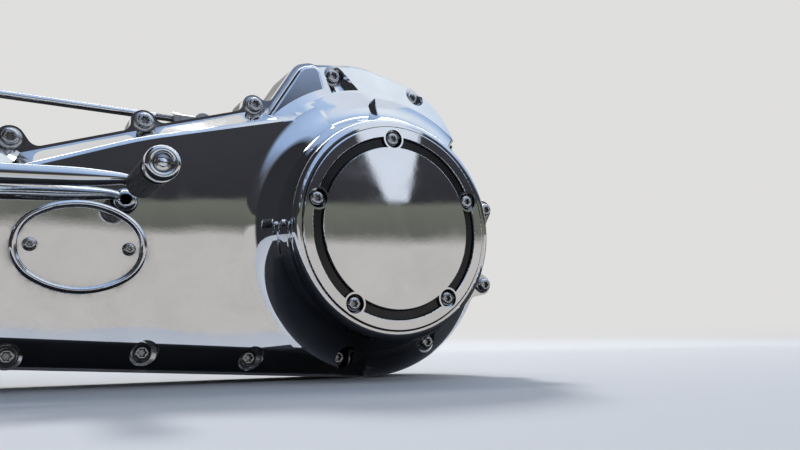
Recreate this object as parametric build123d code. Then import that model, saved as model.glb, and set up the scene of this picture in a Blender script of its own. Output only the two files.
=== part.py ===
from build123d import *
from math import cos, hypot, radians, sin
import os

# Left-side primary drive case of a motor trike, with its round clutch cover and its heel-and-toe
# gear shift. Millimetres. The origin is the crankshaft's axis in the engine's mating face, X runs
# to the rear, Y runs inboard and Z is up, so everything stands out from the engine towards -Y.
# A height is a distance outboard of the engine's mating face, so a height of 50 is Y = -50.

# Places of the shafts that the case covers
CLUTCH_X = 300.0
CLUTCH_Z = 24.0
STARTER_X = 282.0
STARTER_Z = 122.0

# Steps from one seating face to the next
FLOOR_GAP = 12.0
FLOOR_THICK = 5.0
CASE_DEPTH = 37.0
GASKET_THICK = 1.0
FLANGE_THICK = 8.0
FACADE_RISE = 20.0
PLATEAU_DROP = 8.0
DOME_RISE = 20.0
SEAL_THICK = 1.0
DERBY_THICK = 11.0

# Walls and ribs
CASE_WALL = 5.0
COVER_WALL = 4.0
RIB_HEIGHT = 8.0
BACK_RIB_HEIGHT = 5.0
RIB_THICK = 4.0
RIB_END_GAP = 14.0

# Outline of the joint and its bolts
FRONT_RADIUS = 76.0
REAR_RADIUS = 116.0
FLANGE_WIDTH = 9.0
FLANGE_LEDGE = 2.0
LUG_RADIUS = 8.8
LUG_ROOT_RADIUS = 15.0
LUG_ROOT_DEPTH = 19.0
LUG_ROOT_SHIFT = 6.0
LUG_BLEND = 7.0
LUG_DEPTH = 20.0
LUG_REACH = 6.5
POCKET_INSET = 12.0
BOLT_RADIUS = 3.1
BOLT_CLEARANCE = 0.2
BOLT_REACH = 15.0
BOLT_HOLE_DEPTH = 17.0
THREAD_GAP = 0.1
HEAD_RADIUS = 6.3
HEAD_THICK = 6.0
POCKET_RADIUS = 9.0
BOLT_BOSS_RADIUS = 11.0

# Front body, its shoulder and the starter hump
EDGE_ROUND = 3.5
SHOULDER_WIDTH = 9.0
SHOULDER_DEPTH = 11.0
SHOULDER_TOP = 20.0
SHOULDER_DROP = 3.0
APRON_WIDTH = 6.0
CROWN_DROP = 5.0
CROWN_REACH = 40.0
CROWN_FALL = 17.0
CROWN_ROUND = 2.5
PLATEAU_ROUND = 3.0
DISH_X = 12.0
DISH_Z = -27.0
DISH_RISE = 13.0
DISH_START_RADIUS = 10.0
DISH_END_RADIUS = 20.0

# Clutch dome with its bead ring and the lip round the clutch cover
RING_RADIUS = 112.0
RING_WIDTH = 8.0
RING_RISE = 2.6
RING_ROUND = 2.6
LIP_RADIUS = 86.5
LIP_ROUND = 5.2
LIP_DROP = 1.0
CLUTCH_OPENING_RADIUS = 62.0

# Clutch cover and its screws
DERBY_RADIUS = 79.6
DERBY_GAP = 0.4
DERBY_ROUND = 1.2
DERBY_SKIN = 6.0
GROOVE_OUTER = 71.5
GROOVE_INNER = 63.2
GROOVE_DEPTH = 2.4
GROOVE_SLOPE = 1.2
GROOVE_ROUND = 0.5
SEAL_WIDTH = 3.5
DERBY_SCREW_CIRCLE = 70.0
DERBY_SCREWS = 5
DERBY_TURN = 94.0
DERBY_PAD_RADIUS = 8.7
DERBY_RECESS_RADIUS = 7.3
DERBY_RECESS_DEPTH = 4.5
DERBY_HEAD_RADIUS = 6.2
DERBY_HEAD_THICK = 4.2
DERBY_SHANK_RADIUS = 3.0
DERBY_BOSS_RADIUS = 6.5
DERBY_BOSS_DEPTH = 16.0

# Oval inspection cover and its screws
OVAL_X = 79.0
OVAL_Z = -1.0
OVAL_LENGTH = 82.0
OVAL_WIDTH = 61.0
OVAL_END_RADIUS = 26.0
OVAL_THICK = 5.0
OVAL_BEAD = 4.6
OVAL_SINK = 3.0
OVAL_MARGIN = 17.0
OVAL_SCREW_SPREAD = 29.5
OVAL_SHANK_RADIUS = 2.4
OVAL_HEAD_RADIUS = 4.4
OVAL_HEAD_THICK = 3.0

# Engine and gearbox interfaces
CRANK_BORE_RADIUS = 56.0
CRANK_RING_RADIUS = 67.0
ENGINE_BOLT_CIRCLE = 61.5
ENGINE_BOLTS = 5
ENGINE_HOLE_RADIUS = 3.3
SHAFT_SEAT_RADIUS = 31.0
SHAFT_RING_RADIUS = 39.0
BEARING_BORE_RADIUS = 15.0
BEARING_WIDTH = 14.0
STARTER_BORE_RADIUS = 19.0
STARTER_RING_RADIUS = 25.0
GEARBOX_SPREAD_X = 104.0
GEARBOX_SPREAD_Z = 92.0
GEARBOX_HOLE_RADIUS = 4.3
GEARBOX_PAD_RADIUS = 10.0
FIT_GAP = 0.02

# Gear shift
SHIFT_X = -62.0
SHIFT_Z = 55.0
SHAFT_RADIUS = 8.0
BOSS_RADIUS = 15.0
BOSS_RISE = 26.0
BUSHING_WALL = 2.0
BUSHING_LENGTH = 14.0
RUNNING_GAP = 0.05
HUB_RADIUS = 13.0
LEVER_THICK = 8.0
LEVER_ROUND = 2.0
LEVER_STANDOFF = 11.0
LEVER_GAP = 1.0
HEEL_BEND_X = 54.0
HEEL_BEND_Z = -15.0
HEEL_REACH = 171.0
HEEL_DROP = 17.0
TOE_BEND_X = -50.0
TOE_BEND_Z = -19.0
TOE_REACH = -143.0
TOE_DROP = 29.0
ARM_ROOT = 5.5
ARM_TIP = 2.8
ARM_BLEND = 5.0
ARM_TIP_X = 6.5
ARM_TIP_Z = 5.9
PEG_EYE_RADIUS = 8.0
PEG_LENGTH = 60.0
PEG_RADIUS = 9.5
PEG_CORE_RADIUS = 5.0
PEG_CAP_RADIUS = 10.2
PEG_CAP_THICK = 9.0
PEG_CAP_ROUND = 2.5
PEG_CAP_SINK = 1.5
PEG_GROOVES = 7
PEG_GROOVE_DEPTH = 1.0
RUBBER_GAP = 0.1
INNER_ARM_GAP = 3.0
INNER_ARM_THICK = 7.0
ROD_PIN_X = 10.0
ROD_PIN_Z = 61.0
ROD_SPAN = 224.0
ROD_HEIGHT = 3.5
ROD_RADIUS = 3.0
ROD_PIN_RADIUS = 3.0
ROD_EYE_RADIUS = 7.5
ROD_EYE_THICK = 7.0
ROD_SOCKET_RADIUS = 4.6
ROD_SOCKET_LENGTH = 24.0
JAM_NUT_WIDTH = 10.0
JAM_NUT_THICK = 4.0

# Heights of the faces that seat on each other
FLOOR_TOP = FLOOR_GAP + FLOOR_THICK
JOINT_HEIGHT = FLOOR_GAP + CASE_DEPTH
COVER_FOOT = JOINT_HEIGHT + GASKET_THICK
FLANGE_FACE = COVER_FOOT + FLANGE_THICK
FACADE_HEIGHT = FLANGE_FACE + FACADE_RISE
PLATEAU_HEIGHT = FACADE_HEIGHT - PLATEAU_DROP
DOME_SEAT = FACADE_HEIGHT + DOME_RISE
DERBY_FOOT = DOME_SEAT + SEAL_THICK
DERBY_FACE = DERBY_FOOT + DERBY_THICK
LIP_TOP = DERBY_FACE - LIP_DROP
RING_TOP = FACADE_HEIGHT + RING_RISE
OVAL_FOOT = FACADE_HEIGHT + GASKET_THICK
BOSS_HEIGHT = FLANGE_FACE + BOSS_RISE
TOE_HEIGHT = BOSS_HEIGHT + LEVER_STANDOFF
HEEL_HEIGHT = TOE_HEIGHT + LEVER_THICK + LEVER_GAP
SHAFT_TOP = HEEL_HEIGHT + LEVER_THICK + 2.0
INNER_ARM_TOP = -INNER_ARM_GAP
ROD_PIN_TOP = ROD_HEIGHT + ROD_EYE_THICK / 2 + 2.0

# Places that outlines, bolts and ribs are measured from: x, z, radius of the joint's outline there
# and radius of the ring on the case floor
CENTRES = {
    "crank": (0.0, 0.0, FRONT_RADIUS, CRANK_RING_RADIUS),
    "clutch": (CLUTCH_X, CLUTCH_Z, REAR_RADIUS, SHAFT_RING_RADIUS),
    "starter": (STARTER_X, STARTER_Z, REAR_RADIUS, STARTER_RING_RADIUS),
}

# Cover bolts round a shaft: centre, angle from the rear towards the top, and whether the bolt
# stands on a lug outside the joint's outline or in a pocket inside it
ROUND_BOLTS = (
    ("crank", 104.0, "lug"),
    ("crank", 174.4, "lug"),
    ("crank", 239.4, "lug"),
    ("crank", 300.6, "lug"),
    ("clutch", 253.9, "pocket"),
    ("clutch", 301.5, "pocket"),
    ("clutch", 341.9, "lug"),
    ("clutch", 14.6, "lug"),
)

# Cover bolts along the straight edges: centre, x and z from it, lug or pocket
EDGE_BOLTS = (
    ("crank", 34.0, 71.0, "lug"),
    ("crank", 117.0, 94.5, "lug"),
    ("clutch", -102.0, 95.6, "lug"),
    ("starter", -18.0, 32.5, "pocket"),
    ("starter", 57.6, 26.0, "pocket"),
    ("clutch", -101.4, -99.0, "pocket"),
    ("crank", 123.4, -70.0, "pocket"),
)

# Corners of the front body, of the plateau and the crown of the starter hump, each at its foot and
# at its face: centre, x and z from it, corner radius
BODY_FOOT = (
    ("clutch", -50, 109, 5), ("crank", 112, 87, 300), ("crank", -62, 26, 36),
    ("crank", -62, -72, 36), ("clutch", 2, -115, 5),
)
BODY_FACE = (
    ("clutch", -50, 92, 5), ("crank", 112, 77.5, 300), ("crank", -50, 12, 30),
    ("crank", -50, -56, 30), ("clutch", -10, -97, 5),
)
PLATEAU_FOOT = (
    ("clutch", -103, 30, 3), ("clutch", -103, 73, 4), ("clutch", -66.5, 134.5, 13),
    ("clutch", -50, 139.5, 8), ("clutch", -40, 110, 8), ("clutch", -60, 30, 3),
)
PLATEAU_FACE = (
    ("clutch", -101.5, 30, 3), ("clutch", -101.5, 73, 4), ("clutch", -67, 131, 13),
    ("clutch", -53, 134.5, 6), ("clutch", -45, 110, 8), ("clutch", -60, 30, 3),
)
CROWN_FOOT = (
    ("clutch", -92, 36, 5), ("clutch", -92, 88, 5), ("clutch", -62, 135, 10), ("clutch", -12, 143.8, 66),
    ("clutch", 61.5, 128.2, 62), ("clutch", 86, 78, 20), ("clutch", 84, 36, 5),
)
CROWN_FACE = (
    ("clutch", -88, 36, 5), ("clutch", -88, 84, 5), ("clutch", -58, 129, 10), ("clutch", -13, 137.3, 62),
    ("clutch", 58, 121.7, 58), ("clutch", 79.5, 76, 20), ("clutch", 77.5, 36, 5),
)

# Floor ribs of the inner case: start centre and angle, end centre and angle, from ring to ring,
# or from a ring to a little short of the joint's wall where the end is named "wall"
FLOOR_RIBS = (
    ("crank", 10.0, "clutch", 166.0),
    ("crank", -20.0, "clutch", 204.0),
    ("crank", 26.0, "starter", 214.0),
    ("crank", -36.0, "clutch", 238.0),
    ("clutch", 24.0, "wall", 20.0),
    ("clutch", -26.0, "wall", -18.0),
    ("clutch", -90.0, "wall", -90.0),
)


def plane_at(height):
    """Plane parallel to the joint faces, seen from outboard: local X is X and local Y is Z."""
    return Plane(origin=(0, -height, 0), x_dir=(1, 0, 0), z_dir=(0, -1, 0))


def slab(sketch, low, high):
    """Prism on a sketch drawn in X and Z, from one height to another."""
    return extrude(plane_at(low) * sketch, amount=high - low)


def disc(x, z, radius, low, high):
    return slab(Pos(x, z) * Circle(radius), low, high)


def ring(x, z, outer, inner, low, high):
    return slab(Pos(x, z) * (Circle(outer) - Circle(inner)), low, high)


def link(x1, z1, r1, x2, z2, r2):
    """Outline of a tapering arm between two round ends."""
    ends = [Pos(x1, z1) * Edge.make_circle(r1), Pos(x2, z2) * Edge.make_circle(r2)]
    return make_hull(ends)


def rounded(corners, grow=0.0):
    """Face with rounded corners from a table of centre, x, z and corner radius, grown by an offset."""
    points = []
    for centre, x, z, radius in corners:
        points.append((CENTRES[centre][0] + x, CENTRES[centre][1] + z))
    radii = [corner[3] for corner in corners]
    face = make_face(FilletPolyline(points, radius=radii, close=True))
    if grow:
        face = offset(face, amount=grow, kind=Kind.INTERSECTION)
    return face


def smoothed(outline, radius):
    """Outline with its hollow corners rounded."""
    return offset(offset(outline, amount=radius, kind=Kind.ARC), amount=-radius, kind=Kind.ARC)


def tapered(foot, face, low, high, inset, edge_round):
    """Body whose wall leans in from one outline to another of as many corners, with its front edge
    rounded. Its hollow is the same form, inset by the wall and with a plain edge."""
    sections = [
        plane_at(low - inset) * rounded(foot, -inset),
        plane_at(high - inset) * rounded(face, -inset),
    ]
    body = loft(sections, ruled=True)
    if inset:
        return body
    return fillet(body.edges().group_by(Axis.Y)[0], edge_round)


def turned(x, z, profile):
    """Solid of revolution about an inboard-outboard axis, from a table of radius, height and
    rounding."""
    points = [(radius, -height) for radius, height, rounding in profile]
    roundings = [rounding for radius, height, rounding in profile]
    outline = make_face(FilletPolyline(points, radius=roundings, close=True))
    return Pos(x, 0, z) * revolve(outline, Axis.Y, 360)


def bolt_places(seats=("lug", "pocket")):
    """Centres of the cover bolts that stand on lugs, in pockets, or both."""
    for centre, angle, seat in ROUND_BOLTS:
        x, z, radius, ring_radius = CENTRES[centre]
        reach = radius + LUG_REACH if seat == "lug" else radius - POCKET_INSET
        if seat in seats:
            yield x + reach * cos(radians(angle)), z + reach * sin(radians(angle))
    for centre, x, z, seat in EDGE_BOLTS:
        if seat in seats:
            yield CENTRES[centre][0] + x, CENTRES[centre][1] + z


def bolt_circles(radius, seats=("lug", "pocket")):
    circles = Sketch()
    for x, z in bolt_places(seats):
        circles += Pos(x, z) * Circle(radius)
    return circles


def joint_outline(grow=0.0):
    """Outline of the joint between the two case halves, without its lugs."""
    outline = rounded(BODY_FOOT, FLANGE_LEDGE + grow)
    outline += Circle(FRONT_RADIUS + grow)
    outline += Pos(CLUTCH_X, CLUTCH_Z) * Circle(REAR_RADIUS + grow)
    outline += rounded(PLATEAU_FOOT, FLANGE_LEDGE + grow)
    outline += rounded(CROWN_FOOT, FLANGE_LEDGE + grow)
    return outline


def lug_outline():
    """Outline of the joint with its lugs, whose roots run into it in hollow curves."""
    outline = joint_outline()
    middle_x = CLUTCH_X / 2
    for x, z in bolt_places(("lug",)):
        near = min(max(x, 0.0), CLUTCH_X)
        reach = hypot(x - near, z)
        root_x = x - (x - near) * LUG_ROOT_DEPTH / reach + LUG_ROOT_SHIFT * (1 if z > 0 else 0)
        root_z = z - z * LUG_ROOT_DEPTH / reach
        outline += link(x, z, LUG_RADIUS, root_x, root_z, LUG_ROOT_RADIUS)
    return smoothed(outline, LUG_BLEND)


def derby_places():
    """Centres of the clutch cover's screws."""
    for number in range(DERBY_SCREWS):
        angle = radians(DERBY_TURN - number * 360.0 / DERBY_SCREWS)
        yield CLUTCH_X + DERBY_SCREW_CIRCLE * cos(angle), CLUTCH_Z + DERBY_SCREW_CIRCLE * sin(angle)


def engine_places():
    """Centres of the holes that fasten the case to the engine."""
    for number in range(ENGINE_BOLTS):
        angle = radians(90.0 + number * 360.0 / ENGINE_BOLTS)
        yield ENGINE_BOLT_CIRCLE * cos(angle), ENGINE_BOLT_CIRCLE * sin(angle)


def gearbox_places():
    """Centres of the holes that fasten the case to the gearbox."""
    for side_x in (-1, 1):
        for side_z in (-1, 1):
            yield CLUTCH_X + side_x * GEARBOX_SPREAD_X / 2, CLUTCH_Z + side_z * GEARBOX_SPREAD_Z / 2


def oval(shrink):
    """Oval of the inspection cover from four arcs, or one that lies inside it, in X and Z."""
    end_centre = OVAL_LENGTH / 2 - OVAL_END_RADIUS
    rise = OVAL_WIDTH / 2 - OVAL_END_RADIUS
    side_centre = (end_centre**2 - rise**2) / (2 * rise)
    side_radius = OVAL_WIDTH / 2 + side_centre
    # the point where an end arc runs into a side arc
    span = hypot(end_centre, side_centre)
    touch_x = end_centre + (OVAL_END_RADIUS - shrink) * end_centre / span
    touch_z = (OVAL_END_RADIUS - shrink) * side_centre / span
    end = OVAL_LENGTH / 2 - shrink
    side = side_radius - side_centre - shrink
    arcs = [
        ThreePointArc((touch_x, touch_z), (end, 0), (touch_x, -touch_z)),
        ThreePointArc((touch_x, -touch_z), (0, -side), (-touch_x, -touch_z)),
        ThreePointArc((-touch_x, -touch_z), (-end, 0), (-touch_x, touch_z)),
        ThreePointArc((-touch_x, touch_z), (0, side), (touch_x, touch_z)),
    ]
    return Pos(OVAL_X, OVAL_Z) * make_face(arcs)


def oval_places():
    for side in (-1, 1):
        yield OVAL_X + side * OVAL_SCREW_SPREAD, OVAL_Z


def rib_ends():
    """Start and end of each rib of the inner case, sunk a little into the rings."""
    for start, start_angle, end, end_angle in FLOOR_RIBS:
        x1, z1, outline_radius, ring_radius = CENTRES[start]
        start_reach = ring_radius - RIB_THICK / 2
        if end == "wall":
            x2, z2, end_reach = x1, z1, outline_radius - RIB_END_GAP
        else:
            x2, z2, end_reach = CENTRES[end][0], CENTRES[end][1], CENTRES[end][3] - RIB_THICK / 2
        yield (
            x1 + start_reach * cos(radians(start_angle)),
            z1 + start_reach * sin(radians(start_angle)),
            x2 + end_reach * cos(radians(end_angle)),
            z2 + end_reach * sin(radians(end_angle)),
        )


def crown_form(inset):
    """Sloping rear part of the starter hump: a cone about the clutch's axis, within its outline."""
    crest = RING_TOP - inset
    apron = RING_RADIUS + APRON_WIDTH - inset
    foot = FACADE_HEIGHT - CROWN_DROP - inset
    cone = turned(CLUTCH_X, CLUTCH_Z, (
        (0, FLANGE_FACE - inset, 0),
        (apron + CROWN_REACH, FLANGE_FACE - inset, 0),
        (apron + CROWN_REACH, foot - CROWN_FALL, 0),
        (apron, foot, 0),
        (RING_RADIUS - RING_ROUND - inset, crest - RING_ROUND / 2, 0),
        (0, crest - RING_ROUND / 2, 0),
    ))
    prism = loft([
        plane_at(FLANGE_FACE - inset) * rounded(CROWN_FOOT, -inset),
        plane_at(RING_TOP + 1) * rounded(CROWN_FACE, -inset),
    ], ruled=True)
    return cone & prism


def dome_form(inset):
    """Round form over the clutch: wall, bead ring, cone and the lip that the clutch cover sits in.
    The hollow ends below the seat and has no lip."""
    ring_inner = RING_RADIUS - RING_WIDTH
    profile = [
        (0, FLANGE_FACE - inset, 0),
        (REAR_RADIUS - FLANGE_LEDGE - inset, FLANGE_FACE - inset, 0),
        (RING_RADIUS - inset, RING_TOP - inset, 0 if inset else RING_ROUND),
        (ring_inner - inset, RING_TOP - inset, 0 if inset else RING_ROUND),
        (LIP_RADIUS + 1 - inset, DOME_SEAT - inset, 0 if inset else RING_ROUND),
    ]
    if not inset:
        profile += [
            (LIP_RADIUS, LIP_TOP, LIP_ROUND),
            (DERBY_RADIUS + DERBY_GAP, LIP_TOP, 0),
            (DERBY_RADIUS + DERBY_GAP, DOME_SEAT, 0),
        ]
    profile.append((0, DOME_SEAT - inset, 0))
    return turned(CLUTCH_X, CLUTCH_Z, profile)


def shoulder_form(inset):
    """Round shoulder of the cover over the front sprocket."""
    outer = FRONT_RADIUS - FLANGE_LEDGE - inset
    top = FACADE_HEIGHT - SHOULDER_DROP - inset
    return turned(0, 0, (
        (0, FLANGE_FACE - inset, 0),
        (outer, FLANGE_FACE - inset, 0),
        (outer - SHOULDER_WIDTH, FLANGE_FACE + SHOULDER_DEPTH - inset, 0 if inset else EDGE_ROUND),
        (FRONT_RADIUS - SHOULDER_TOP - inset, top, 0 if inset else EDGE_ROUND),
        (0, top, 0),
    ))


def cover_form(inset):
    """Moulded form of the outer cover above its flange, or its hollow when inset by the wall."""
    form = tapered(BODY_FOOT, BODY_FACE, FLANGE_FACE, FACADE_HEIGHT, inset, EDGE_ROUND)
    form += tapered(PLATEAU_FOOT, PLATEAU_FACE, FLANGE_FACE, PLATEAU_HEIGHT, inset, PLATEAU_ROUND)
    form += crown_form(inset)
    form += shoulder_form(inset)
    form += dome_form(inset)
    return form


def dish(wall):
    """Cone that scoops the hump out from its front bolt towards the dome, grown by a wall."""
    start_x, start_z = list(bolt_places(("pocket",)))[2]
    start = Vector(start_x, -(FLANGE_FACE + DISH_START_RADIUS), start_z)
    run = Vector(DISH_X, -(DISH_RISE + DISH_END_RADIUS - DISH_START_RADIUS), DISH_Z)
    place = Plane(origin=start, z_dir=run)
    return Solid.make_cone(DISH_START_RADIUS + wall, DISH_END_RADIUS + wall, run.length, place)


def make_outer_cover():
    outline = lug_outline()
    form = cover_form(0)
    cover = slab(outline, COVER_FOOT, FLANGE_FACE)
    cover += form
    cover -= slab(joint_outline(-FLANGE_WIDTH), COVER_FOOT - 1, FLANGE_FACE)
    cover -= cover_form(COVER_WALL)
    # liners of the bolt pockets and of the dish, then the pockets, the dish and the bolt holes
    liners = slab(bolt_circles(POCKET_RADIUS + COVER_WALL), COVER_FOOT, DOME_SEAT)
    cover += liners & form
    cover += slab(bolt_circles(BOLT_BOSS_RADIUS, ("pocket",)), COVER_FOOT, FLANGE_FACE)
    cover += dish(COVER_WALL) & form
    cover -= slab(bolt_circles(POCKET_RADIUS), FLANGE_FACE, DOME_SEAT)
    cover -= dish(0) - disc(STARTER_X, STARTER_Z, REAR_RADIUS, 0, FLANGE_FACE)
    cover -= slab(bolt_circles(BOLT_RADIUS + BOLT_CLEARANCE), COVER_FOOT, FLANGE_FACE)
    cover += disc(SHIFT_X, SHIFT_Z, BOSS_RADIUS, COVER_FOOT, BOSS_HEIGHT)
    cover -= disc(SHIFT_X, SHIFT_Z, SHAFT_RADIUS + BUSHING_WALL + FIT_GAP, COVER_FOOT, BOSS_HEIGHT)
    # clutch opening with its screw bosses, and the opening under the inspection cover
    for x, z in derby_places():
        cover += disc(x, z, DERBY_BOSS_RADIUS, DOME_SEAT - DERBY_BOSS_DEPTH, DOME_SEAT)
        cover -= disc(x, z, DERBY_SHANK_RADIUS + FIT_GAP, DOME_SEAT - DERBY_BOSS_DEPTH, DOME_SEAT)
    cover -= disc(CLUTCH_X, CLUTCH_Z, CLUTCH_OPENING_RADIUS, DOME_SEAT - 2 * COVER_WALL, DOME_SEAT)
    for x, z in oval_places():
        cover -= disc(x, z, OVAL_SHANK_RADIUS + FIT_GAP, FACADE_HEIGHT - COVER_WALL, FACADE_HEIGHT)
    cover -= slab(oval(OVAL_MARGIN), FACADE_HEIGHT - 2 * COVER_WALL, FACADE_HEIGHT)
    return cover


def make_inner_case():
    case = slab(joint_outline(), FLOOR_GAP, JOINT_HEIGHT)
    case -= slab(joint_outline(-CASE_WALL), FLOOR_TOP, JOINT_HEIGHT)
    case += slab(lug_outline() - joint_outline(-CASE_WALL), JOINT_HEIGHT - CASE_WALL, JOINT_HEIGHT)
    case += slab(bolt_circles(LUG_RADIUS, ("lug",)), JOINT_HEIGHT - LUG_DEPTH, JOINT_HEIGHT)
    case += slab(bolt_circles(BOLT_BOSS_RADIUS, ("pocket",)), JOINT_HEIGHT - LUG_DEPTH, JOINT_HEIGHT)
    case += disc(SHIFT_X, SHIFT_Z, BOSS_RADIUS, FLOOR_GAP, JOINT_HEIGHT)
    # stiffening ribs on both sides of the floor
    for x1, z1, x2, z2 in rib_ends():
        rib = link(x1, z1, RIB_THICK / 2, x2, z2, RIB_THICK / 2)
        case += slab(rib, FLOOR_GAP - BACK_RIB_HEIGHT, FLOOR_TOP + RIB_HEIGHT)
    case += disc(0, 0, CRANK_RING_RADIUS, 0, FLOOR_TOP)
    case += disc(CLUTCH_X, CLUTCH_Z, SHAFT_RING_RADIUS, 0, FLOOR_TOP + RIB_HEIGHT)
    case += disc(STARTER_X, STARTER_Z, STARTER_RING_RADIUS, 0, FLOOR_TOP)
    for x, z in gearbox_places():
        case += disc(x, z, GEARBOX_PAD_RADIUS, 0, FLOOR_TOP)
        case -= disc(x, z, GEARBOX_HOLE_RADIUS, 0, FLOOR_TOP)
    for x, z in engine_places():
        case -= disc(x, z, ENGINE_HOLE_RADIUS, 0, FLOOR_TOP)
    case -= disc(0, 0, CRANK_BORE_RADIUS, 0, FLOOR_TOP)
    case -= disc(CLUTCH_X, CLUTCH_Z, SHAFT_SEAT_RADIUS, 0, FLOOR_TOP + RIB_HEIGHT)
    case -= disc(STARTER_X, STARTER_Z, STARTER_BORE_RADIUS, 0, FLOOR_TOP + RIB_HEIGHT)
    case -= slab(bolt_circles(BOLT_RADIUS + THREAD_GAP), JOINT_HEIGHT - BOLT_HOLE_DEPTH, JOINT_HEIGHT)
    case -= disc(SHIFT_X, SHIFT_Z, SHAFT_RADIUS + BUSHING_WALL + FIT_GAP, FLOOR_GAP, JOINT_HEIGHT)
    return case


def make_cover_gasket():
    gasket = lug_outline() - joint_outline(-CASE_WALL)
    gasket += bolt_circles(BOLT_BOSS_RADIUS, ("pocket",))
    gasket += Pos(SHIFT_X, SHIFT_Z) * Circle(BOSS_RADIUS)
    gasket -= bolt_circles(BOLT_RADIUS + BOLT_CLEARANCE)
    gasket -= Pos(SHIFT_X, SHIFT_Z) * Circle(SHAFT_RADIUS + BUSHING_WALL)
    return slab(gasket, JOINT_HEIGHT, COVER_FOOT)


def make_cover_bolts():
    bolts = []
    for x, z in bolt_places():
        bolt = disc(x, z, BOLT_RADIUS, JOINT_HEIGHT - BOLT_REACH, FLANGE_FACE)
        bolt += disc(x, z, HEAD_RADIUS, FLANGE_FACE, FLANGE_FACE + HEAD_THICK)
        bolts.append(bolt)
    return Compound(bolts)


def make_derby_cover():
    """Round clutch cover: flat band, groove broken by the screws' pads, flat polished centre."""
    groove_floor = DERBY_FACE - GROOVE_DEPTH
    cover = turned(CLUTCH_X, CLUTCH_Z, (
        (0, DERBY_FACE - DERBY_SKIN, 0),
        (CLUTCH_OPENING_RADIUS, DERBY_FACE - DERBY_SKIN, 0),
        (CLUTCH_OPENING_RADIUS, DERBY_FOOT, 0),
        (DERBY_RADIUS, DERBY_FOOT, 0),
        (DERBY_RADIUS, DERBY_FACE, DERBY_ROUND),
        (GROOVE_OUTER, DERBY_FACE, GROOVE_ROUND),
        (GROOVE_OUTER - GROOVE_SLOPE, groove_floor, 0),
        (GROOVE_INNER + GROOVE_SLOPE, groove_floor, 0),
        (GROOVE_INNER, DERBY_FACE, GROOVE_ROUND),
        (0, DERBY_FACE, 0),
    ))
    for x, z in derby_places():
        cover += disc(x, z, DERBY_PAD_RADIUS, groove_floor, DERBY_FACE)
        cover -= disc(x, z, DERBY_RECESS_RADIUS, DERBY_FACE - DERBY_RECESS_DEPTH, DERBY_FACE)
        cover -= disc(x, z, DERBY_SHANK_RADIUS + BOLT_CLEARANCE, DERBY_FOOT, DERBY_FACE)
    return cover


def make_derby_seal():
    outer = CLUTCH_OPENING_RADIUS + SEAL_WIDTH
    return ring(CLUTCH_X, CLUTCH_Z, outer, CLUTCH_OPENING_RADIUS, DOME_SEAT, DERBY_FOOT)


def make_derby_screws():
    seat = DERBY_FACE - DERBY_RECESS_DEPTH
    screws = []
    for x, z in derby_places():
        screw = disc(x, z, DERBY_SHANK_RADIUS, DOME_SEAT - DERBY_BOSS_DEPTH, seat)
        screw += disc(x, z, DERBY_HEAD_RADIUS, seat, seat + DERBY_HEAD_THICK)
        screws.append(screw)
    return Compound(screws)


def make_inspection_cover():
    """Oval plate with a half-round bead along its edge."""
    plate = slab(oval(0), OVAL_FOOT, OVAL_FOOT + OVAL_THICK)
    plate -= slab(oval(OVAL_BEAD), OVAL_FOOT + OVAL_THICK - OVAL_SINK, OVAL_FOOT + OVAL_THICK)
    plate = fillet(plate.edges().group_by(Axis.Y)[0], OVAL_BEAD / 2 - 0.1)
    for x, z in oval_places():
        plate -= disc(x, z, OVAL_SHANK_RADIUS + BOLT_CLEARANCE, OVAL_FOOT, OVAL_FOOT + OVAL_THICK)
    return plate


def make_inspection_gasket():
    gasket = oval(GASKET_THICK) - oval(OVAL_MARGIN - GASKET_THICK)
    for x, z in oval_places():
        gasket -= Pos(x, z) * Circle(OVAL_SHANK_RADIUS + BOLT_CLEARANCE)
    return slab(gasket, FACADE_HEIGHT, OVAL_FOOT)


def make_inspection_screws():
    seat = OVAL_FOOT + OVAL_THICK - OVAL_SINK
    screws = []
    for x, z in oval_places():
        screw = disc(x, z, OVAL_SHANK_RADIUS, FACADE_HEIGHT - COVER_WALL, seat)
        screw += disc(x, z, OVAL_HEAD_RADIUS, seat, seat + OVAL_HEAD_THICK)
        screws.append(screw)
    return Compound(screws)


def make_mainshaft_bearing():
    low = FLOOR_TOP + RIB_HEIGHT - BEARING_WIDTH - 2.0
    return ring(CLUTCH_X, CLUTCH_Z, SHAFT_SEAT_RADIUS - FIT_GAP, BEARING_BORE_RADIUS, low, low + BEARING_WIDTH)


def make_shaft_bushings():
    outer = SHAFT_RADIUS + BUSHING_WALL
    inner = SHAFT_RADIUS + RUNNING_GAP
    lows = (FLOOR_GAP, BOSS_HEIGHT - BUSHING_LENGTH)
    return Compound([ring(SHIFT_X, SHIFT_Z, outer, inner, low, low + BUSHING_LENGTH) for low in lows])


def make_shift_shaft():
    return disc(SHIFT_X, SHIFT_Z, SHAFT_RADIUS, INNER_ARM_TOP - INNER_ARM_THICK, SHAFT_TOP)


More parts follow.
